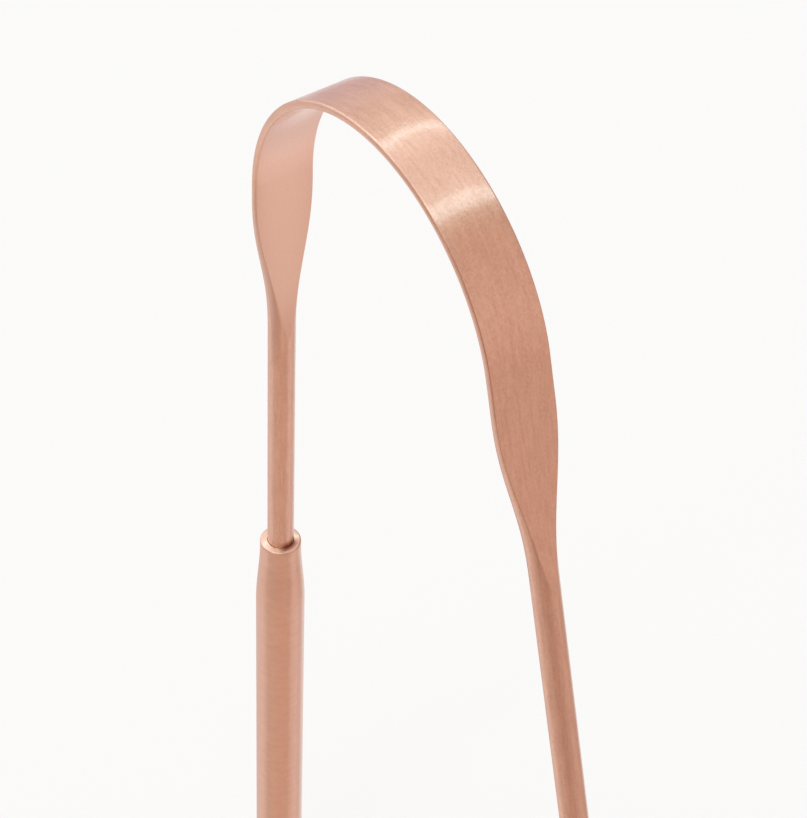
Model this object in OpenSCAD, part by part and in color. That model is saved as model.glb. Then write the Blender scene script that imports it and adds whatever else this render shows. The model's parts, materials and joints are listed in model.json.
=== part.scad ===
// Tongue scraper: one copper rod, bent to a U and pressed flat at the bow, with a tube handle
// on each leg. It stands upright with the bow on top. X runs across the two legs, Y along the
// width of the band, Z up. The origin is the underside of the bow's highest point.

/* [Scraping bow] */
// Diameter of the round copper rod
rod_d = 3.2; // [2.6:0.05:3.6]
// Radius of the bow, to the middle of the band
bow_r = 22; // [16:0.1:30]
// Width of the flat scraping band
band_w = 7.6; // [5:0.1:12]
// Thickness of the flat scraping band
band_t = 0.95; // [0.6:0.05:1.4]
// Angle by which each leg leans outwards
leg_splay = 7.9; // [0:0.1:20]
// Straight stretch of full band width below the bow's arc, on the left leg
left_straight = 0.3; // [0.1:0.1:10]
// The same on the right leg
right_straight = 3.2; // [0.1:0.1:10]
// Length of the flare from flat band to round rod
flare_l = 22.8; // [12:0.1:40]
// Length of round rod that shows above each handle
rod_show = 34.7; // [10:0.1:60]
// How far the rounded edge of the band bulges
edge_round = 0.45; // [0.2:0.05:0.9]
// Half height of the round that the band's edge is part of
edge_half = 0.6; // [0.55:0.05:0.8]
// How far the press sinks the end of the flare below the round rod
neck_step = 0.02; // [0.01:0.01:0.1]

/* [Handles] */
// Outside diameter of the handle tube
tube_d = 6; // [5.6:0.1:8]
// Wall of the handle tube
tube_wall = 0.8; // [0.5:0.05:1]
// Length of the handle tube
handle_l = 62; // [40:1:110]
// Length of the drawn-in nose of the tube
nose_l = 10.5; // [7:0.5:20]
// Straight land at the mouth of the nose
nose_land = 1; // [0.5:0.1:3]
// Wall of the rim at the mouth
rim_wall = 0.85; // [0.5:0.05:0.9]
// Radius of the rim's outer edge
rim_round = 0.4; // [0.1:0.05:0.4]
// Gap between the rod and the rim, at the mouth
mouth_gap = 0.05; // [0.05:0.05:0.3]
// Depth of the countersink at the mouth
countersink_l = 0.5; // [0.3:0.1:2]
// Length of the nose's bore that grips the rod
grip_l = 3; // [1:0.5:5]

/* [End plugs] */
// Length of the plug inside the tube
spigot_l = 6; // [4:0.5:12]
// Depth of the plug's socket for the end of the rod
socket_l = 4; // [2:0.5:8]
// Height of the plug's domed head
dome_h = 1.8; // [0.8:0.1:2.6]
// Depth of the lead-in at the plug's inner end
plug_lead = 0.3; // [0.1:0.1:0.6]

/* [Fits] */
// Radial clearance of the rod in its grip and its socket
rod_fit = 0.02; // [0.01:0.01:0.08]
// Radial clearance of the plug in the tube
plug_fit = 0.02; // [0.01:0.01:0.08]
// Room between the end of the rod and the bottom of its socket
tail_room = 0.3; // [0.1:0.1:1]

/* [Hidden] */
$fn = 96;

COPPER = [0.80, 0.56, 0.45];
LEFT = -1;
RIGHT = 1;

rod_r = rod_d / 2;
neck_r = rod_r - neck_step;
tube_r = tube_d / 2;
bore_r = tube_r - tube_wall;
grip_r = rod_r + rod_fit;
countersink_r = rod_r + mouth_gap;
mouth_r = countersink_r + rim_wall;
dome_r = (tube_r * tube_r + dome_h * dome_h) / (2 * dome_h);

// The bow's centre, and where a leg leaves its arc.
bow_z = band_t / 2 - bow_r;
leg_x = bow_r * cos(leg_splay);
leg_z = bow_z + bow_r * sin(leg_splay);

// Places along a leg, counted from the end of the arc.
function straight(which) = which == LEFT ? left_straight : right_straight;
function rod_at(which) = straight(which) + flare_l;
function mouth_at(which) = rod_at(which) + rod_show;
function spigot_at(which) = mouth_at(which) + handle_l - spigot_l;
function tail_at(which) = spigot_at(which) + socket_l - tail_room;

// The half bow's arc laps over the middle by this angle before it is trimmed there.
lap_angle = 1;
// How far a cut runs past what it cuts.
overrun = 1;

// How finely the formulas are drawn.
EDGE_STEPS = 13;
FLARE_STEPS = 24;
NOSE_STEPS = 12;
RIM_STEPS = 4;

// Runs from 0 to 1 with level ends, as a share of the way: cubic, and softer to the fifth power.
function clamped(share) = min(max(share, 0), 1);
function ease(share) = let (t = clamped(share)) t * t * (3 - 2 * t);
function soft_ease(share) = let (t = clamped(share)) t * t * t * (t * (6 * t - 15) + 10);
function between(from, to, share) = from + (to - from) * share;

// The cross-section at a share of the way from flat band to round rod, as [thickness, width]
// points. Each side is part of an ellipse, and two parallel faces cut it off. At the neck the
// points lie evenly round the circle, so that no two meet.
even_spread = 90 * EDGE_STEPS / (EDGE_STEPS + 1);
function half_width(share) = between(band_w / 2, neck_r, soft_ease(share));
function face_height(share) = between(band_t / 2, neck_r, share * share);
function fullness(share) = 1 - (1 - share) * (1 - share);
function side(share, direction) =
    let (bulge = between(edge_round, neck_r, fullness(share)),
         half = between(edge_half, neck_r, fullness(share)),
         widest = min(asin(clamped(face_height(share) / half)), even_spread),
         centre = half_width(share) - bulge)
    [for (i = [0 : EDGE_STEPS])
        let (a = between(widest, -widest, i / EDGE_STEPS))
        direction * [half * sin(a), centre + bulge * cos(a)]];
function section(share) = concat(side(share, 1), side(share, -1));

// Puts a leg's piece in place: its Z runs down the leg and its X faces the other leg.
module on_leg(which, along) {
    mirror([which == LEFT ? 1 : 0, 0, 0])
        translate([leg_x, 0, leg_z])
            rotate([0, 180 - leg_splay, 0])
                translate([0, 0, along])
                    children();
}

// Half the arc of the bow, in its leg's frame: the band's section turned about the bow's centre.
module half_arc() {
    translate([bow_r, 0, 0])
        rotate([90, 0, 0])
            rotate_extrude(angle = 90 - leg_splay + lap_angle, start = 180)
                translate([bow_r, 0])
                    polygon(section(0));
}

// The flare: a skin through sections that pass from flat band to round rod.
module flare() {
    rings = [for (i = [0 : FLARE_STEPS]) section(i / FLARE_STEPS)];
    sides = len(rings[0]);
    points = [for (i = [0 : FLARE_STEPS], p = rings[i]) [p.x, p.y, i / FLARE_STEPS * flare_l]];
    skin = [for (i = [0 : FLARE_STEPS - 1], j = [0 : sides - 1])
        let (a = i * sides + j,
             b = i * sides + (j + 1) % sides)
        each [[a, a + sides, b + sides], [a, b + sides, b]]];
    first_cap = [for (j = [0 : sides - 1]) j];
    last_cap = [for (j = [sides - 1 : -1 : 0]) FLARE_STEPS * sides + j];
    polyhedron(points, concat([first_cap, last_cap], skin));
}

// A half of the bow, laid on the right: arc, straight band, flare, then round rod to the end
// plug's socket. It is trimmed at the middle, where it meets the other half.
module half_bow(which) {
    difference() {
        on_leg(RIGHT, 0) {
            half_arc();
            linear_extrude(straight(which))
                polygon(section(0));
            translate([0, 0, straight(which)])
                flare();
            translate([0, 0, rod_at(which)])
                cylinder(h = tail_at(which) - rod_at(which), r = rod_r);
        }
        translate([-overrun, -band_w, -band_t])
            cube([overrun, 2 * band_w, 3 * band_t]);
    }
}

// One continuous rod, bent and pressed: it is a single solid.
module scraping_bow() {
    color(COPPER) {
        half_bow(RIGHT);
        mirror([1, 0, 0])
            half_bow(LEFT);
    }
}

// Half the wall of the handle tube, as [radius, distance from the mouth] points.
function nose_share(i) = i / NOSE_STEPS;
function outer_nose() = [for (i = [0 : NOSE_STEPS])
    [between(mouth_r, tube_r, ease(nose_share(i))), between(nose_land, nose_l, nose_share(i))]];
function inner_nose() = [for (i = [NOSE_STEPS : -1 : 0])
    [between(grip_r, bore_r, ease(nose_share(i))),
     between(countersink_l + grip_l, nose_l + tube_wall, nose_share(i))]];
function rim() = [for (i = [0 : RIM_STEPS])
    let (a = 90 * i / RIM_STEPS)
    [mouth_r - rim_round * (1 - sin(a)), rim_round * (1 - cos(a))]];

// A handle: a tube drawn in at the top onto the rod, with a countersunk mouth.
module handle(which) {
    color(COPPER)
        on_leg(which, mouth_at(which))
            rotate_extrude()
                polygon(concat(
                    [[countersink_r, 0]],
                    rim(),
                    outer_nose(),
                    [[tube_r, handle_l], [bore_r, handle_l]],
                    inner_nose(),
                    [[grip_r, countersink_l]]));
}

// An end plug: a spigot inside the tube, a domed head flush with it, a socket for the rod.
module end_plug(which) {
    spigot_r = bore_r - plug_fit;
    color(COPPER)
        on_leg(which, spigot_at(which))
            difference() {
                union() {
                    cylinder(h = plug_lead, r1 = spigot_r - plug_lead / 2, r2 = spigot_r);
                    translate([0, 0, plug_lead])
                        cylinder(h = spigot_l - plug_lead, r = spigot_r);
                    intersection() {
                        translate([0, 0, spigot_l])
                            cylinder(h = dome_h, r = tube_r);
                        translate([0, 0, spigot_l + dome_h - dome_r])
                            sphere(r = dome_r);
                    }
                }
                translate([0, 0, -overrun])
                    cylinder(h = overrun + socket_l, r = grip_r);
            }
}

module left_handle() handle(LEFT);
module right_handle() handle(RIGHT);
module left_end_plug() end_plug(LEFT);
module right_end_plug() end_plug(RIGHT);

scraping_bow();
left_handle();
right_handle();
left_end_plug();
right_end_plug();
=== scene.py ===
# %% [markdown]
# # A copper tongue scraper
#
# The real scraper is one round copper rod, bent to a U and pressed flat at the bow, with a drawn-in
# tube as a handle on each leg. The whole look rests on two things: a clean bend that passes from
# flat band to round rod, and satin copper that was brushed by hand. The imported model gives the
# frame in which everything is placed.

# %% Load the frame
import json
import math

import bpy
import numpy as np
from mathutils import Matrix, Vector


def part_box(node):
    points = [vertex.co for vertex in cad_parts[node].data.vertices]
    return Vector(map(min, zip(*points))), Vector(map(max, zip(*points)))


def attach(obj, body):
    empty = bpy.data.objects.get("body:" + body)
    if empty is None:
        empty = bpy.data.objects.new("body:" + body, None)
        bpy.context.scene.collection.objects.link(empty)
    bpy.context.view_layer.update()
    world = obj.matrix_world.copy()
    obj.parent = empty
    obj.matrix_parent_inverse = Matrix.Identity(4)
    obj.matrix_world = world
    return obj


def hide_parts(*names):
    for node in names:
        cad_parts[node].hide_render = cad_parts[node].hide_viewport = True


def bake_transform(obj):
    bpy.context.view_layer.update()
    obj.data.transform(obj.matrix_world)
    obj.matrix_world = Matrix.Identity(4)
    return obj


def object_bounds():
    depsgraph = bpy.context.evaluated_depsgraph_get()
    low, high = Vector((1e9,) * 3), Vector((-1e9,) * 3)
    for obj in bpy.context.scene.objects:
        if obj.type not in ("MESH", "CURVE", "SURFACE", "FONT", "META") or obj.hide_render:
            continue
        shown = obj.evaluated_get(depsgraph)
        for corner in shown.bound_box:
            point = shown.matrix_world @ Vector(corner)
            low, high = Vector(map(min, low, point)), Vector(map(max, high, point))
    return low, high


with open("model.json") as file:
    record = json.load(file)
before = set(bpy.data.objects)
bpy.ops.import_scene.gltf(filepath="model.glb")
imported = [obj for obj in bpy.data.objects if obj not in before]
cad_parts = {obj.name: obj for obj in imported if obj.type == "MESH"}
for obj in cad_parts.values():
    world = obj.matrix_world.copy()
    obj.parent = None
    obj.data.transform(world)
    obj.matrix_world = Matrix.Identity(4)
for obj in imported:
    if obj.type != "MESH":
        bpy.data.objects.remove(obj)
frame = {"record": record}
cad_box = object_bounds()

# %% [markdown]
# ## Sizes
#
# A few sizes drive every shape. The lean of the legs and the radius of the tubes are read from the
# frame's own record. The others are written once here, in the way that a drawing would give them.

# %% Sizes of the rod, the band and the handles, in metres
MM = 0.001
GRIPS = {m["name"]: m for m in frame["record"]["mounts"]}
SPLAY = math.asin(GRIPS["right_handle_grip"]["axis"][0])
TUBE_R = GRIPS["right_handle_grip"]["dims"]["r_mm"] * MM

ROD_R = 1.6 * MM
BOW_R = 22 * MM
BAND_W = 7.6 * MM
BAND_T = 0.95 * MM
STRAIGHT = {"left": 0.3 * MM, "right": 3.2 * MM}
FLARE_L = 22.8 * MM
ROD_SHOW = 34.7 * MM
EDGE_ROUND = 0.45 * MM
EDGE_HALF = 0.6 * MM

TUBE_WALL = 0.8 * MM
HANDLE_L = 62 * MM
NOSE_L = 10.5 * MM
NOSE_LAND = 1 * MM
RIM_WALL = 0.85 * MM
RIM_ROUND = 0.4 * MM
MOUTH_GAP = 0.05 * MM
COUNTERSINK_L = 0.5 * MM
GRIP_L = 3 * MM

SPIGOT_L = 6 * MM
SOCKET_L = 4 * MM
DOME_H = 1.8 * MM
PLUG_LEAD = 0.3 * MM
FIT = 0.02 * MM
TAIL_ROOM = 0.3 * MM

# %% Places that follow from the sizes
BORE_R = TUBE_R - TUBE_WALL
GRIP_R = ROD_R + FIT
COUNTERSINK_R = ROD_R + MOUTH_GAP
MOUTH_R = COUNTERSINK_R + RIM_WALL
SPIGOT_R = BORE_R - FIT
BOW_Z = BAND_T / 2 - BOW_R
ARC_L = BOW_R * (math.pi / 2 - SPLAY)
MOUTH_AT = {side: straight + FLARE_L + ROD_SHOW for side, straight in STRAIGHT.items()}
SPIGOT_AT = {side: mouth + HANDLE_L - SPIGOT_L for side, mouth in MOUTH_AT.items()}
TAIL_AT = {side: spigot + SOCKET_L - TAIL_ROOM for side, spigot in SPIGOT_AT.items()}
rod_length = 2 * ARC_L + sum(TAIL_AT.values())
print("splay %.2f degrees, rod %.1f mm long" % (math.degrees(SPLAY), rod_length / MM))

# %% [markdown]
# ## From a grid of points to a mesh
#
# Every piece here is a closed skin over a grid: the columns go once round the piece and the rows
# follow its length. One function turns such a grid into a mesh. It closes the skin at both ends,
# either with a pole or by joining the last row to the first, and it turns the faces outwards by
# the sign of the volume that they enclose. Each vertex also remembers where it lay on the straight
# rod or tube, before it was bent. The finishes read that place, so that brush lines follow a bend.

# %% A closed skin over a grid
def skin(name, points, unbent, joined=False):
    """A mesh over a (rows, columns, 3) grid, closed round its columns. The rows end in poles at the
    mean of the first and the last row, or are joined to a ring. unbent is stored on the vertices."""
    rows, columns = points.shape[:2]
    index = np.arange(rows * columns).reshape(rows, columns)
    across = np.roll(index, -1, axis=1)
    if joined:
        along, along_across = np.roll(index, -1, axis=0), np.roll(across, -1, axis=0)
    else:
        along, along_across = index[1:], across[1:]
        index, across = index[:-1], across[:-1]
    quads = np.stack([index, across, along_across, along], -1).reshape(-1, 4)
    vertices, places = points.reshape(-1, 3), unbent.reshape(-1, 3)
    triangles = np.zeros((0, 3), int)
    if not joined:
        first, last = np.arange(columns), np.arange(columns) + (rows - 1) * columns
        pole = np.full(columns, rows * columns)
        triangles = np.concatenate([
            np.stack([np.roll(first, -1), first, pole], -1),
            np.stack([last, np.roll(last, -1), pole + 1], -1)])
        vertices = np.concatenate([vertices, points[[0, -1]].mean(1)])
        places = np.concatenate([places, unbent[[0, -1]].mean(1)])
    fans = np.concatenate([quads[:, [0, 1, 2]], quads[:, [0, 2, 3]], triangles])
    a, b, c = (vertices[fans[:, k]] for k in range(3))
    volume = np.einsum("ij,ij->i", a, np.cross(b, c)).sum() / 6
    if volume < 0:
        quads, triangles = quads[:, ::-1], triangles[:, ::-1]
    mesh = bpy.data.meshes.new(name)
    mesh.from_pydata(vertices.tolist(), [], quads.tolist() + triangles.tolist())
    mesh.attributes.new("unbent", "FLOAT_VECTOR", "POINT").data.foreach_set("vector", places.ravel())
    mesh.polygons.foreach_set("use_smooth", np.ones(len(mesh.polygons), bool))
    piece = bpy.data.objects.new(name, mesh)
    bpy.context.scene.collection.objects.link(piece)
    print("%s: %d faces, %.1f mm3" % (name, len(mesh.polygons), abs(volume) / MM ** 3))
    return piece


# %% [markdown]
# ## The scraping bow
#
# A pressed band isn't a plain rectangle: the press leaves two flat faces, and the metal that it
# squeezed out stands round at the edges. Towards each leg the faces narrow to a long tongue and
# fade into the round rod. Swept curves or a subdivided box could give that only by eye. Here the
# section is a formula with one share, which runs from 0 in the flat band to 1 in the round rod, and
# the formula is carried along the bent centre line.

# %% Ways from one value to another
def between(start, end, share):
    """The value at a share of the way from start to end."""
    return start + (end - start) * share


def soft_ease(share):
    """Runs from 0 to 1 with level and unbent ends: 6 t^5 - 15 t^4 + 10 t^3."""
    return share ** 3 * (share * (6 * share - 15) + 10)


def ease(share):
    """Runs from 0 to 1 with level ends: 3 t^2 - 2 t^3."""
    return share * share * (3 - 2 * share)


LEAST_RADIUS = 1e-12


def soft_least(one, other, radius):
    """The smaller of two heights, with the corner where they cross rounded over the radius: it is
    lowered by near^2 radius / 4, where near falls from 1 at the crossing to 0 a radius apart."""
    near = np.clip(1 - np.abs(one - other) / np.maximum(radius, LEAST_RADIUS), 0, 1)
    return np.minimum(one, other) - near * near * radius / 4


# %% Where the columns of a section lie
CORNER_SOFT = 0.11 * MM
CORNER_REACH = 1.2  # how far a corner's own columns reach, in widths of the softened corner
SIDE_COLUMNS, CORNER_COLUMNS, FACE_COLUMNS = 14, 9, 12
WIDEST_CORNER = math.radians(60)


def section_columns(corner, spread):
    """The angle on the edge's ellipse and the share of the face's half width for each column, once
    round the section. Columns crowd within the spread of each corner, so that the corners run
    cleanly down the flare."""
    edge = (corner - spread) * np.linspace(-1, 1, SIDE_COLUMNS)
    upper = corner + spread * np.linspace(-1, 1, CORNER_COLUMNS)[1:]
    reach = np.linspace(1, -1, FACE_COLUMNS)[None, 1:-1]
    flat = np.pi / 2 - (np.pi / 2 - corner - spread) * reach
    side_angle = np.concatenate([-upper[:, ::-1], edge, upper], 1)
    side_reach = np.ones_like(side_angle)
    angle = np.concatenate([side_angle, flat, side_angle + np.pi, flat + np.pi], 1)
    reach = reach + np.zeros_like(corner)
    return angle, np.concatenate([side_reach, reach, -side_reach, -reach], 1)


# %% The section of the rod
def rod_section(share):
    """Height and width of the section at each share, as two (rows, columns) arrays. Each edge is an
    ellipse: its width is the bulge times cos a beyond its centre, and its height half times sin a.
    The height is cut off at the face, and the corner where both meet is softened."""
    share = share[:, None]
    fullness = 1 - (1 - share) ** 2
    bulge = between(EDGE_ROUND, ROD_R, fullness)
    half = between(EDGE_HALF, ROD_R, fullness)
    face = between(BAND_T / 2, ROD_R, share ** 2)
    centre = between(BAND_W / 2, ROD_R, soft_ease(share)) - bulge
    corner = np.minimum(np.arcsin(np.minimum(face / half, 1)), WIDEST_CORNER)
    spread = CORNER_REACH * CORNER_SOFT / (half * np.cos(corner))
    angle, reach = section_columns(corner, spread)
    width = reach * centre + bulge * np.cos(angle)
    height = soft_least(half * np.abs(np.sin(angle)), face, CORNER_SOFT * (1 - share ** 2))
    return np.sign(np.sin(angle)) * height, width


# %% The bent centre line
WIDTHWAYS = np.array([0, 1, 0])


def centre_line(along):
    """Points and outward directions at signed distances from the top of the bow: an arc about the
    bow's centre, then a straight leg in the arc's last direction."""
    distance, leg = np.abs(along), np.sign(along)
    angle = np.minimum(distance, ARC_L) / BOW_R
    straight = np.maximum(distance - ARC_L, 0)
    x = leg * (BOW_R * np.sin(angle) + straight * np.cos(angle))
    z = BOW_Z + BOW_R * np.cos(angle) - straight * np.sin(angle)
    outward = np.stack([leg * np.sin(angle), 0 * angle, np.cos(angle)], -1)
    return np.stack([x, 0 * x, z], -1), outward


# %% Where the rows lie along a leg
ARC_ROWS, STRAIGHT_ROWS, FLARE_ROWS, ROD_ROWS = 80, 4, 90, 60


def leg_stops(side):
    """Where the rows lie along one half of the bow, counted from its top, and their flare's share."""
    straight = STRAIGHT[side]
    rod_at = straight + FLARE_L
    stops = np.concatenate([
        np.linspace(0, ARC_L, ARC_ROWS)[1:-1],
        ARC_L + np.linspace(0, straight, STRAIGHT_ROWS),
        ARC_L + np.linspace(straight, rod_at, FLARE_ROWS)[1:],
        ARC_L + np.linspace(rod_at, TAIL_AT[side], ROD_ROWS)[1:]])
    return stops, np.clip((stops - ARC_L - straight) / FLARE_L, 0, 1)


# %% Carry the section along the centre line
left_stops, left_share = leg_stops("left")
right_stops, right_share = leg_stops("right")
along = np.concatenate([-left_stops[::-1], [0], right_stops])
flare_share = np.concatenate([left_share[::-1], [0], right_share])
height, width = rod_section(flare_share)
middle, outward = centre_line(along)
raised = height[..., None] * outward[:, None]
bow_points = middle[:, None] + raised + width[..., None] * WIDTHWAYS
bow_unbent = np.stack([along[:, None] + 0 * height, width, height], -1)
bow = skin("bow", bow_points, bow_unbent)
low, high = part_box("scraping_bow")
print("bow against its node, mm:", np.round((bow_points.min((0, 1)) - low) / MM, 2),
      np.round((bow_points.max((0, 1)) - high) / MM, 2))

# %% [markdown]
# ## Faces left askew
#
# The press didn't leave the faces quite flat: towards both edges they lean a little backwards, so the
# pale bars that the bow mirrors sag at their ends. The lean is far thinner than the band, so the mesh
# keeps its shape and only its normals lean. Bump couldn't do this, because the clear coat ignores it.

# %% Lean the normals of the band's faces
PRESS_LEAN = 0.12


def lean_faces(piece, width, outward):
    """Adds PRESS_LEAN (y / half)^2 to the widthways part of each normal, times the share that it
    faces outwards, where y is the width and half is half the band's full width. The inner face
    leans the other way. How far each vertex faces sideways is kept on it, as side."""
    mesh = piece.data
    normals = np.zeros(3 * len(mesh.vertices), np.float32)
    mesh.vertex_normals.foreach_get("vector", normals)
    normals = normals.reshape(-1, 3)
    on_skin = normals[:width.size].reshape(width.shape + (3,))
    facing = (on_skin * outward[:, None]).sum(-1)
    on_skin[..., 1] += PRESS_LEAN * (2 * width / BAND_W) ** 2 * facing
    normals /= np.linalg.norm(normals, axis=1, keepdims=True)
    mesh.normals_split_custom_set_from_vertices(normals.tolist())
    side = np.ones(len(normals), np.float32)
    side[:width.size] = 1 - np.abs(facing).ravel()
    mesh.attributes.new("side", "FLOAT", "POINT").data.foreach_set("value", side)
    print("normals lean by up to %.1f degrees" % math.degrees(math.atan(PRESS_LEAN)))


lean_faces(bow, width, outward)

# %% [markdown]
# ## Turned pieces
#
# The handle and its end plug are round, so each is a half section turned about the leg. What makes
# them look real is their corners: no edge of a drawn tube is sharp. So a half section is written as
# its corners, each with a radius, and a helper puts an arc of that radius into each corner.

# %% Rounded outlines
CORNER_STEPS = 6


def rounded(corners):
    """Points (r, z) of an outline through corners (r, z, radius): each corner with a radius becomes
    an arc that touches both of its neighbours' lines. A point of the arc is the sum of the radii to
    its two ends, each times the sine of the sweep left to the other, over the sine of the sweep."""
    corners = np.array(corners)
    outline = []
    for k, (r, z, radius) in enumerate(corners):
        here = np.array([r, z])
        if radius == 0:
            outline.append(here[None])
            continue
        back = corners[k - 1, :2] - here
        ahead = corners[(k + 1) % len(corners), :2] - here
        back, ahead = back / np.linalg.norm(back), ahead / np.linalg.norm(ahead)
        half_angle = math.acos(np.clip(back @ ahead, -1, 1)) / 2
        bisector = (back + ahead) / np.linalg.norm(back + ahead)
        arc_middle = here + bisector * radius / math.sin(half_angle)
        start = here + back * radius / math.tan(half_angle) - arc_middle
        end = here + ahead * radius / math.tan(half_angle) - arc_middle
        t = np.linspace(0, 1, CORNER_STEPS)[:, None]
        sweep = math.pi - 2 * half_angle
        arc = np.sin((1 - t) * sweep) * start + np.sin(t * sweep) * end
        outline.append(arc_middle + arc / math.sin(sweep))
    return np.concatenate(outline)


# %% Turn an outline about a leg
ROUND_COLUMNS = 96


def turned(name, outline, leg, at, joined):
    """The outline (r, z) turned about a leg, z counted down the leg from a place on it. At an angle
    a, a point lies r cos a towards the other leg and r sin a widthways."""
    turn = np.linspace(0, 2 * np.pi, ROUND_COLUMNS, endpoint=False)
    r, z = outline[:, :1], outline[:, 1:] + 0 * turn
    x, y = r * np.cos(turn), r * np.sin(turn)
    middle, outward = centre_line(leg * (ARC_L + at + z))
    points = middle - x[..., None] * outward + y[..., None] * WIDTHWAYS
    return skin(name, points, np.stack([z, x, y], -1), joined)


# %% [markdown]
# ## Handles
#
# Each handle is a tube whose top was drawn in until it grips the rod. The bright lip round the rod is
# what the eye finds first: it runs from the rod outwards, falls a little and ends in a round corner.
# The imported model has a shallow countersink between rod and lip. The real lip closes onto the rod, so
# here it starts where the grip does. A cylinder with its loops pulled in by hand would give the nose
# only by eye, so its outline is a formula.

# %% The drawn-in nose
NOSE_POINTS = 24


def nose(start, end):
    """Corners (r, z, 0) of a nose between two points (r, z): z runs evenly and r eases."""
    share = np.linspace(0, 1, NOSE_POINTS)
    radii, places = between(start[0], end[0], ease(share)), between(start[1], end[1], share)
    return [(r, z, 0) for r, z in zip(radii, places)]


outer_nose = nose((MOUTH_R, NOSE_LAND), (TUBE_R, NOSE_L))
inner_nose = nose((GRIP_R, COUNTERSINK_L + GRIP_L), (BORE_R, NOSE_L + TUBE_WALL))
print("nose: outside radius %.2f to %.2f mm" % (MOUTH_R / MM, TUBE_R / MM))

# %% The wall of a handle
LIP_ROUND, LIP_FALL = 0.06 * MM, 0.14 * MM
END_ROUND, BORE_ROUND = 0.12 * MM, 0.08 * MM
TUBE_STOPS = 16
tube_stops = [(TUBE_R, z, 0) for z in np.linspace(NOSE_L, HANDLE_L, TUBE_STOPS)[1:-1]]
handle_outline = rounded(
    [(GRIP_R, 0, LIP_ROUND), (MOUTH_R, LIP_FALL, RIM_ROUND - LIP_FALL)]
    + outer_nose + tube_stops
    + [(TUBE_R, HANDLE_L, END_ROUND), (BORE_R, HANDLE_L, BORE_ROUND)]
    + inner_nose[::-1])
print("handle: an outline of %d points" % len(handle_outline))

# %% [markdown]
# ## End plugs
#
# The far end of each tube is closed by a plug: a spigot inside the tube, a socket in it for the end
# of the rod, and a low dome as wide as the tube. A fine line stays where dome and tube meet. Joining
# a sphere to cylinders would leave that line to chance, so the plug is one outline, as the handle is.

# %% The half section of a plug
DOME_POINTS = 20
dome_radius = (TUBE_R ** 2 + DOME_H ** 2) / (2 * DOME_H)
dome_angle = np.linspace(math.asin(TUBE_R / dome_radius), 0, DOME_POINTS)[1:-1]
dome_tip = SPIGOT_L + DOME_H
dome = [(dome_radius * math.sin(a), dome_tip - dome_radius * (1 - math.cos(a)), 0) for a in dome_angle]
PLUG_EDGE = 0.12 * MM
POLE_R = 0.01 * MM
plug_outline = rounded(
    [(POLE_R, SOCKET_L, 0), (GRIP_R, SOCKET_L, 0), (GRIP_R, 0, 0),
     (SPIGOT_R - PLUG_LEAD / 2, 0, 0), (SPIGOT_R, PLUG_LEAD, 0),
     (SPIGOT_R, SPIGOT_L, 0), (TUBE_R, SPIGOT_L, PLUG_EDGE)]
    + dome + [(POLE_R, dome_tip, 0)])
print("plug: an outline of %d points" % len(plug_outline))

# %% Both legs
LEGS = {"left": -1, "right": 1}
handles = {side: turned(side + "_tube", handle_outline, leg, MOUTH_AT[side], joined=True)
           for side, leg in LEGS.items()}
plugs = {side: turned(side + "_plug", plug_outline, leg, SPIGOT_AT[side], joined=False)
         for side, leg in LEGS.items()}

# %% [markdown]
# ## Writing finishes as expressions
#
# Node trees get long when each Math node is placed by hand. A small class stands for one output of
# a tree, and arithmetic on it adds the Math nodes. Every other node comes from one method.

# %% A wire
class Wire:
    """One output socket. Arithmetic on it adds Math nodes to its finish."""

    def __init__(self, finish, socket):
        self.finish, self.socket = finish, socket

    def __add__(self, other):
        return self.finish.math("ADD", self, other)

    def __sub__(self, other):
        return self.finish.math("SUBTRACT", self, other)

    def __rsub__(self, other):
        return self.finish.math("SUBTRACT", other, self)

    def __mul__(self, other):
        return self.finish.math("MULTIPLY", self, other)

    __radd__, __rmul__ = __add__, __mul__


# %% A finish
class Finish:
    """A material, or the world, and the nodes it is made of."""

    def __init__(self, owner):
        owner.use_nodes = True
        self.owner, self.tree = owner, owner.node_tree
        self.tree.nodes.clear()

    def node(self, kind, settings=None, sockets=None, out=0):
        """Adds a node: its settings first, then a value or a wire for each named socket."""
        made = self.tree.nodes.new(kind)
        for key, value in (settings or {}).items():
            setattr(made, key, value)
        for key, value in (sockets or {}).items():
            if isinstance(value, Wire):
                self.tree.links.new(value.socket, made.inputs[key])
            else:
                made.inputs[key].default_value = value
        return Wire(self, made.outputs[out]) if made.outputs else made

    def math(self, operation, *values):
        """A Math node of the operation on values and wires."""
        return self.node("ShaderNodeMath", {"operation": operation}, dict(enumerate(values)))

    def ramp(self, wire, low, high):
        """0 below low, 1 above high, and smooth between them."""
        return self.node("ShaderNodeMapRange", {"interpolation_type": "SMOOTHSTEP"},
                         {"Value": wire, "From Min": low, "From Max": high})

    def mix(self, share, one, other):
        """A colour at a share of the way from one to the other. A Mix node keeps a set of sockets
        for each type of data: colours go in at 6 and 7 and come out at 2."""
        return self.node("ShaderNodeMix", {"data_type": "RGBA"}, {0: share, 6: one, 7: other}, out=2)

    def grain(self, place, cell, detail=2.0, roughness=0.5):
        """Noise from 0 to 1 whose cells have the given size along each axis of the place."""
        scaled = self.node("ShaderNodeVectorMath", {"operation": "DIVIDE"}, {0: place, 1: cell})
        return self.node("ShaderNodeTexNoise", None,
                         {"Vector": scaled, "Scale": 1.0, "Detail": detail, "Roughness": roughness})
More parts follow.
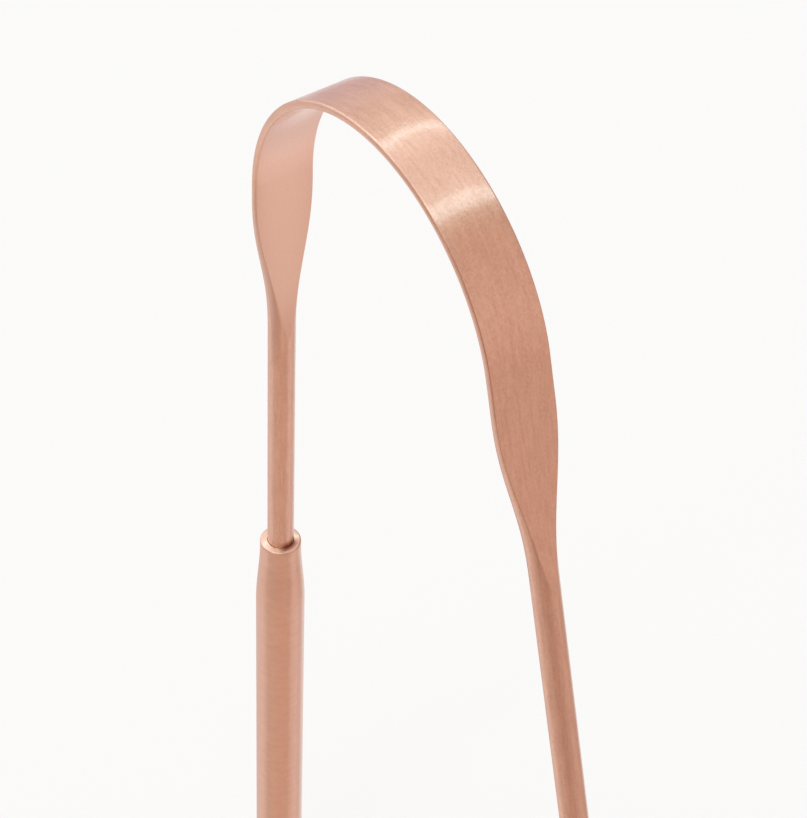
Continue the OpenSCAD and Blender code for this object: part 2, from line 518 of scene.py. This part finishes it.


# %% [markdown]
# ## Brushed copper
#
# Satin copper is a metal first: it shows what it mirrors, in its own colour. The brush leaves fine
# marks that run along the band and round the tubes. They are too fine to model, so they are a bump,
# with small changes of colour and of roughness from mark to mark. A clear coat brings the pale gleam
# that bare copper has where it mirrors a lamp. It comes and goes with the grain, which makes the
# borders of a highlight ragged. The colour drifts a little in patches, as handled copper does, and
# worn metal is lighter. Painted shade, a dark brown that also dulls the coat, darkens some corners.

# %% Copper colours
COPPER = (0.900, 0.650, 0.510, 1)
COPPER_DEEP = (0.700, 0.470, 0.350, 1)
COPPER_WORN = (0.970, 0.780, 0.665, 1)
# painted shade: the dark brown that the shade masks mix into the copper
PAINTED_SHADE_BROWN = (0.280, 0.110, 0.070, 1)
print("copper, red to blue:", COPPER[:3])

# %% How strongly each kind of grain shows
SPECK = (0.26 * MM, 0.19 * MM, 0.19 * MM)
BROAD = 3  # size of a broad brush mark, in fine ones
EVEN = 0.5  # the middle value of every grain
PATCH_TONE, BRUSH_TONE = 0.8, 0.4
SPECK_GLEAM, BRUSH_GLEAM = 0.6, 0.4
GLEAM_FROM, GLEAM_TO = 0.4, 0.6
GLEAM_LEAST, GLEAM_SWING = 0.7, 0.3
BRUSH_RELIEF, BROAD_RELIEF = 0.15, 0.05
BRUSH_ROUGHNESS, PATCH_ROUGHNESS = 0.16, 0.08
COAT_ROUGHNESS, COAT_IOR = 0.12, 2.6

# %% Brushed copper
def copper(name, groove, mottle, speckle, streak, depth, roughness, worn, painted_shade=None):
    """Brushed copper. groove is the size of a brush mark and mottle the size of a colour patch, each
    along, across and through the unbent piece. speckle and streak say how much the specks and the
    broad brush marks colour it, and depth how deep the grain is. The last two are functions that give
    the share of wear and of painted shade at a place; painted shade darkens the colour and dims the gleam."""
    finish = Finish(bpy.data.materials.new(name))
    place = finish.node("ShaderNodeAttribute", {"attribute_name": "unbent"}, out=1)
    fine = finish.grain(place, groove)
    wide = finish.grain(place, tuple(BROAD * size for size in groove), detail=1.0)
    patch = finish.grain(place, mottle, detail=3.0)
    speck = finish.grain(place, SPECK, detail=1.0, roughness=0.6)
    tone = (patch - EVEN) * PATCH_TONE + (fine - EVEN) * BRUSH_TONE
    tone = tone + (wide - EVEN) * streak + (speck - EVEN) * speckle + EVEN
    colour = finish.mix(tone, COPPER_DEEP, COPPER)
    colour = finish.mix(worn(finish, place), colour, COPPER_WORN)
    grain = speck * SPECK_GLEAM + fine * BRUSH_GLEAM
    gleam = finish.ramp(grain, GLEAM_FROM, GLEAM_TO) * GLEAM_SWING + GLEAM_LEAST
    # painted shade: the mask darkens the colour towards a dark brown and dims the coat's gleam
    if painted_shade:
        shade_share = painted_shade(finish, place)
        colour = finish.mix(shade_share, colour, PAINTED_SHADE_BROWN)
        gleam = gleam * (1 - shade_share)
    height = (fine * BRUSH_RELIEF + wide * BROAD_RELIEF + speck) * depth
    bump = finish.node("ShaderNodeBump", None, {"Strength": 1.0, "Distance": 1.0, "Height": height})
    shader = finish.node("ShaderNodeBsdfPrincipled", None, {
        "Base Color": colour, "Metallic": 1.0,
        "Roughness": roughness + (fine - EVEN) * BRUSH_ROUGHNESS + (patch - EVEN) * PATCH_ROUGHNESS,
        "Coat Weight": gleam, "Coat Roughness": COAT_ROUGHNESS, "Coat IOR": COAT_IOR,
        "Normal": bump})
    finish.node("ShaderNodeOutputMaterial", None, {"Surface": shader})
    return finish.owner


# %% [markdown]
# ## Wear and painted shade
#
# A scraper wears where it is wiped and where it scrapes: on its edges, on the inner face of the band,
# on the lips of the handles and on the tips of the plugs. Shade is painted in as a dark brown in the
# corner between rod and lip, which the rod hides, and down the sides of the flares, where the turning
# edges mirror a dark part of the room. Masks drawn in a picture would need an image. Here each mask is a
# ramp or a product of ramps over the place on the unbent piece, in metres.
# Of a pair of names, the one in FROM is where a ramp starts and the one in TO is where it ends.

# %% One coordinate of a place
ALONG, ACROSS, THROUGH = 0, 1, 2


def coordinate(finish, place, axis):
    """How far a place lies along, across or through the unbent piece."""
    return finish.node("ShaderNodeSeparateXYZ", None, {0: place}, out=axis)


def distance(finish, place, axis):
    """The size of one coordinate of a place, whatever its sign."""
    return finish.math("ABSOLUTE", coordinate(finish, place, axis))


# %% Wear on the band
EDGE_WEAR, FACE_WEAR = 0.15, 0.9
EDGE_FROM, EDGE_TO = BAND_W / 2 - 0.5 * MM, BAND_W / 2 - 0.2 * MM
FACE_FROM, FACE_TO = -0.45 * MM, -0.2 * MM
FLAT_FROM, FLAT_TO = ARC_L + 15 * MM, ARC_L + 25 * MM


def band_wear(finish, place):
    """Wear on the round edges of the band, near its full width, and on its inner face, which scrapes."""
    edge = finish.ramp(distance(finish, place, ACROSS), EDGE_FROM, EDGE_TO)
    inside = 1 - finish.ramp(coordinate(finish, place, THROUGH), FACE_FROM, FACE_TO)
    flat = 1 - finish.ramp(distance(finish, place, ALONG), FLAT_FROM, FLAT_TO)
    return finish.math("MAXIMUM", edge * EDGE_WEAR, inside * flat * FACE_WEAR)


# %% Painted shade on the flares
# how dark the painted shade down the flares gets
FLARE_PAINTED_SHADE = 0.4
FLARE_FROM, FLARE_TO = ARC_L - 5 * MM, ARC_L + 5 * MM
ROD_FROM, ROD_TO = ARC_L + 17 * MM, ARC_L + 30 * MM
RIGHT_FROM, RIGHT_TO = 13 * MM, 19 * MM
SIDE_FROM, SIDE_TO = 0.08, 0.35  # 0 faces outwards or inwards, and 1 faces sideways
BESIDE_FROM, BESIDE_TO = 0.25, 0.6
INNER_FROM = -0.4 * MM


def flare_painted_shade(finish, place):
    """Painted shade down the sides of both flares, a dark reflection where the edges turn: a streak
    beside the corner of the outer face, and the side that lies towards the inner face. On the right leg
    the streak starts higher, and is twice as strong above the flare, where the corner is at its narrowest."""
    sideways = finish.node("ShaderNodeAttribute", {"attribute_name": "side"}, out=2)
    down = distance(finish, place, ALONG)
    flare = finish.ramp(down, FLARE_FROM, FLARE_TO)
    rod = finish.ramp(down, ROD_FROM, ROD_TO)
    beside = 1 - finish.ramp(sideways, BESIDE_FROM, BESIDE_TO)
    inner_half = 1 - finish.ramp(coordinate(finish, place, THROUGH), INNER_FROM, 0)
    both = finish.math("MAXIMUM", beside, inner_half) * flare
    right = beside * finish.ramp(coordinate(finish, place, ALONG), RIGHT_FROM, RIGHT_TO) * (2 - flare)
    shade_share = finish.ramp(sideways, SIDE_FROM, SIDE_TO) * finish.math("MAXIMUM", both, right)
    return shade_share * (1 - rod) * FLARE_PAINTED_SHADE


# %% Wear and painted shade at a mouth
LIP_WEAR = 0.4
LIP_FROM, LIP_TO = 0.15 * MM, 0.5 * MM
# where the painted shade in the corner between rod and lip lies
CREVICE_FROM, CREVICE_TO = ROD_R + 0.1 * MM, MOUTH_R + 0.15 * MM
CREVICE_DEEP, CREVICE_END = 0.3 * MM, 0.6 * MM
FACING_FROM, FACING_TO = 0.6, 1.0
CREVICE_TURN = 0.22


def mouth_wear(finish, place):
    """Wear on the rim at the mouth of a handle."""
    return LIP_WEAR - finish.ramp(distance(finish, place, ALONG), LIP_FROM, LIP_TO) * LIP_WEAR


def mouth_painted_shade(finish, place):
    """Painted shade in the corner between rod and lip, which the rod hides, on the side that faces the
    other leg: there the cosine of the angle from that side, turned a little backwards, is near 1."""
    down, x, y = (coordinate(finish, place, axis) for axis in (ALONG, ACROSS, THROUGH))
    radius = finish.math("SQRT", x * x + y * y)
    inner = 1 - finish.ramp(radius, CREVICE_FROM, CREVICE_TO)
    cosine = finish.math("DIVIDE", x + y * CREVICE_TURN, radius)
    facing = finish.ramp(cosine, FACING_FROM, FACING_TO)
    return inner * facing * (1 - finish.ramp(down, CREVICE_DEEP, CREVICE_END))


# %% Wear on a dome
DOME_WEAR = 0.6


def dome_wear(finish, place):
    """Wear towards the tip of a plug's dome, from half its height."""
    return finish.ramp(distance(finish, place, ALONG), SPIGOT_L + DOME_H / 2, dome_tip) * DOME_WEAR


# %% The three finishes
# The band gets painted shade down its flares, and the tubes in the corners at their mouths.
band_copper = copper(
    "band_copper", groove=(1.2 * MM, 0.11 * MM, 0.11 * MM), mottle=(3 * MM, 1.0 * MM, 1.0 * MM),
    speckle=1.5, streak=0.9, depth=0.016 * MM, roughness=0.34, worn=band_wear, painted_shade=flare_painted_shade)
tube_copper = copper(
    "tube_copper", groove=(0.13 * MM, 1.0 * MM, 1.0 * MM), mottle=(0.8 * MM, 1.6 * MM, 1.6 * MM),
    speckle=0.9, streak=0.1, depth=0.008 * MM, roughness=0.34, worn=mouth_wear, painted_shade=mouth_painted_shade)
plug_copper = copper(
    "plug_copper", groove=(0.12 * MM, 0.9 * MM, 0.9 * MM), mottle=(0.8 * MM, 1.4 * MM, 1.4 * MM),
    speckle=0.9, streak=0.1, depth=0.006 * MM, roughness=0.32, worn=dome_wear)
for finish in (band_copper, tube_copper, plug_copper):
    print("%s: %d nodes" % (finish.name, len(finish.node_tree.nodes)))

# %% [markdown]
# ## Pieces and bodies
#
# The real bow is a spring: it bends when the handles are squeezed. The imported model stands in for that
# with a hinge between two bodies, one for each leg. Each handle and plug rides on its own body. The
# bow is one piece of metal, and here it rides on no body, so it stays as it was built.

# %% Give the bow its finish, and hand each handle and plug to its body
bow.data.materials.append(band_copper)
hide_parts("scraping_bow")
LEG_BODIES = {"left": "bow_and_left_handle", "right": "right_grip"}
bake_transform(bow)
for side, body in LEG_BODIES.items():
    for piece, node, slot, finish in ((handles[side], "_handle", "copper_tube", tube_copper),
                                      (plugs[side], "_end_plug", "copper_plug", plug_copper)):
        piece.data.materials.append(finish)
        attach(piece, body)
        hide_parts(side + node)

# %% [markdown]
# ## Floor, room and lamps
#
# Metal has no look of its own, only that of the room it mirrors. The camera sees nothing but a pale
# floor. The copper mirrors a dim warm room with soft panels in it, most of them pale and one that
# takes light away, and a large cool lamp above, with a narrow bright one along each of its two long
# sides. These two make the pale bars across the bow. The panels light the inner side of the left leg,
# the edges and the rods. An image of a studio could stand in for all of this, but a list of panels
# can be read, and changed one at a time.

# %% The floor
FLOOR_SIZE = 6.0
floor_mesh = bpy.data.meshes.new("floor")
half_floor = FLOOR_SIZE / 2
floor_z = cad_box[0].z
floor_mesh.from_pydata([(-half_floor, -half_floor, floor_z), (half_floor, -half_floor, floor_z),
                        (half_floor, half_floor, floor_z), (-half_floor, half_floor, floor_z)],
                       [], [(0, 1, 2, 3)])
floor = bpy.data.objects.new("floor", floor_mesh)
floor.visible_glossy = False
bpy.context.scene.collection.objects.link(floor)

# %% The floor's paper
FLOOR_ALBEDO = (0.55, 0.55, 0.55, 1)
FLOOR_GLOW = (0.45, 0.54, 0.57, 1)


def seen_of(finish):
    """1 where the camera looks at the thing itself, also through glass, and 0 in its reflections."""
    rays = finish.node("ShaderNodeLightPath").socket.node.outputs
    camera_ray, glass_ray = (Wire(finish, rays["Is %s Ray" % kind]) for kind in ("Camera", "Transmission"))
    return finish.math("MAXIMUM", camera_ray, glass_ray)


paper = Finish(bpy.data.materials.new("paper_floor"))
matt = paper.node("ShaderNodeBsdfDiffuse", None, {"Color": FLOOR_ALBEDO})
glow = paper.node("ShaderNodeEmission", None, {"Color": FLOOR_GLOW, "Strength": seen_of(paper)})
both = paper.node("ShaderNodeAddShader", None, {0: matt, 1: glow})
paper.node("ShaderNodeOutputMaterial", None, {"Surface": both})
floor.data.materials.append(paper.owner)
print("floor %.0f m wide at z = %.1f mm" % (FLOOR_SIZE, floor_z / MM))

# %% What the copper mirrors
ROOM = (0.57, 0.37, 0.30)
BACKDROP = (0.955, 0.955, 0.955, 1)
PANELS = {  # azimuth and elevation of the middle and half width, in degrees, and radiance
    "warm_wall": (120, 0, 45, (0.13, 0.06, 0.045)),
    "back_left": (-116, -10, 36, (0.10, 0.13, 0.20)),
    "high_back_left": (-122, 35, 35, (0.24, 0.24, 0.24)),
    "high_back_right": (122, 12, 35, (0.08, 0.08, 0.08)),
    "warm_ledge": (123, 42, 20, (0.09, 0.03, 0.01)),
    "window_left": (-65, 30, 50, (0.57, 0.58, 0.59)),
    "front": (40, 25, 60, (0.12, 0.12, 0.11)),
    "low_right": (140, -50, 30, (0.12, 0.09, 0.09)),
    "low_strip": (134, -54, 20, (0.16, 0.14, 0.13)),
    "low_camera": (58, -62, 35, (0.17, 0.10, 0.07)),
    "dark_corner": (60, -20, 30, (-0.08, -0.09, -0.08)),
    "low_front": (-14, -45, 36, (0.13, 0.11, 0.10)),
    "low_left": (-66, -40, 40, (0.25, 0.26, 0.27)),
    "low_back": (-165, -62, 31, (0.16, 0.19, 0.22)),
    "behind": (-140, -36, 34, (0.30, 0.36, 0.38))}


def direction(azimuth, elevation):
    """The unit vector towards an azimuth, counted from the front towards the right, and elevation."""
    azimuth, elevation = math.radians(azimuth), math.radians(elevation)
    return Vector((math.sin(azimuth) * math.cos(elevation), -math.cos(azimuth) * math.cos(elevation),
                   math.sin(elevation)))


# %% The room
world = bpy.data.worlds.new("room")
bpy.context.scene.world = world
room = Finish(world)
ray = room.node("ShaderNodeTexCoord", out=0)
mirrored = room.node("ShaderNodeRGB")
mirrored.socket.default_value = ROOM + (1,)
for azimuth, elevation, half_width, radiance in PANELS.values():
    closeness = room.node("ShaderNodeVectorMath", {"operation": "DOT_PRODUCT"},
                          {0: ray, 1: direction(azimuth, elevation)}, out=1)
    share = room.ramp(closeness, math.cos(math.radians(half_width)), 1.0)
    mirrored = room.node("ShaderNodeVectorMath", {"operation": "MULTIPLY_ADD"},
                         {0: share, 1: radiance, 2: mirrored})
seen = room.mix(seen_of(room), mirrored, BACKDROP)
background = room.node("ShaderNodeBackground", None, {"Color": seen})
room.node("ShaderNodeOutputWorld", None, {"Surface": background})
print("%d panels in the room" % len(PANELS))

# %% The lamps
BAR_WHITE, COOL_WHITE = (0.75, 1, 1), (0.97, 0.99, 1.0)
LAMP_HEIGHT, LAMP_LENGTH = 2.0, 4.8
LAMP_DROP = 0.02
LAMPS = {  # from and to, in degrees from straight above towards the right, radiance and colour
    "soft_lamp": (-31.2, 22.0, 0.39, COOL_WHITE),
    "left_bar": (-34.7, -28.5, 1.15, BAR_WHITE),
    "right_bar": (14.5, 24.6, 0.96, BAR_WHITE)}


def lamp(name, x, z, width, radiance, colour):
    """An area lamp that shines down, of a given width and radiance, which the camera doesn't see."""
    light = bpy.data.lights.new(name, "AREA")
    light.shape = "RECTANGLE"
    light.size, light.size_y = width, LAMP_LENGTH
    light.energy = radiance * math.pi * width * LAMP_LENGTH
    light.color = colour
    thing = bpy.data.objects.new(name, light)
    thing.location = (x, 0, z)
    thing.visible_camera = False
    bpy.context.scene.collection.objects.link(thing)


for layer, (name, (start, end, radiance, colour)) in enumerate(LAMPS.items()):
    start_x, end_x = (LAMP_HEIGHT * math.tan(math.radians(angle)) for angle in (start, end))
    lamp(name, (start_x + end_x) / 2, LAMP_HEIGHT - layer * LAMP_DROP, end_x - start_x, radiance, colour)
print("lamps:", sorted(LAMPS))

# %% [markdown]
# ## The camera
#
# The camera stands where the photograph was taken from. Its angles, distance and lens were fitted to
# the outlines of the bow and the left handle, so one set of numbers gives the whole framing, and no
# shift of the lens is needed.

# %% The camera
CAMERA_AZIMUTH = math.radians(57.777)
CAMERA_ELEVATION = math.radians(38.157)
CAMERA_ROLL = math.radians(-3.441)
CAMERA_DISTANCE = 342.36 * MM
CAMERA_TARGET = Vector((-0.053, 0, -37.246)) * MM
FRAME_WIDTH = 807
FOCAL_PIXELS = 3179.9
NEAREST, FARTHEST = 0.01, 20

back = Vector((math.sin(CAMERA_AZIMUTH) * math.cos(CAMERA_ELEVATION),
               -math.cos(CAMERA_AZIMUTH) * math.cos(CAMERA_ELEVATION), math.sin(CAMERA_ELEVATION)))
level = Vector((math.cos(CAMERA_AZIMUTH), math.sin(CAMERA_AZIMUTH), 0))
upright = back.cross(level)
right = math.cos(CAMERA_ROLL) * level + math.sin(CAMERA_ROLL) * upright
up = back.cross(right)
lens = bpy.data.cameras.new("camera")
lens.sensor_fit = "HORIZONTAL"
lens.lens = lens.sensor_width * FOCAL_PIXELS / FRAME_WIDTH
lens.clip_start, lens.clip_end = NEAREST, FARTHEST
camera = bpy.data.objects.new("camera", lens)
camera.matrix_world = Matrix((right, up, back)).transposed().to_4x4()
camera.location = CAMERA_TARGET + back * CAMERA_DISTANCE
bpy.context.scene.collection.objects.link(camera)
bpy.context.scene.camera = camera
bpy.context.scene.view_settings.view_transform = "Standard"
print("lens %.1f mm" % lens.lens)
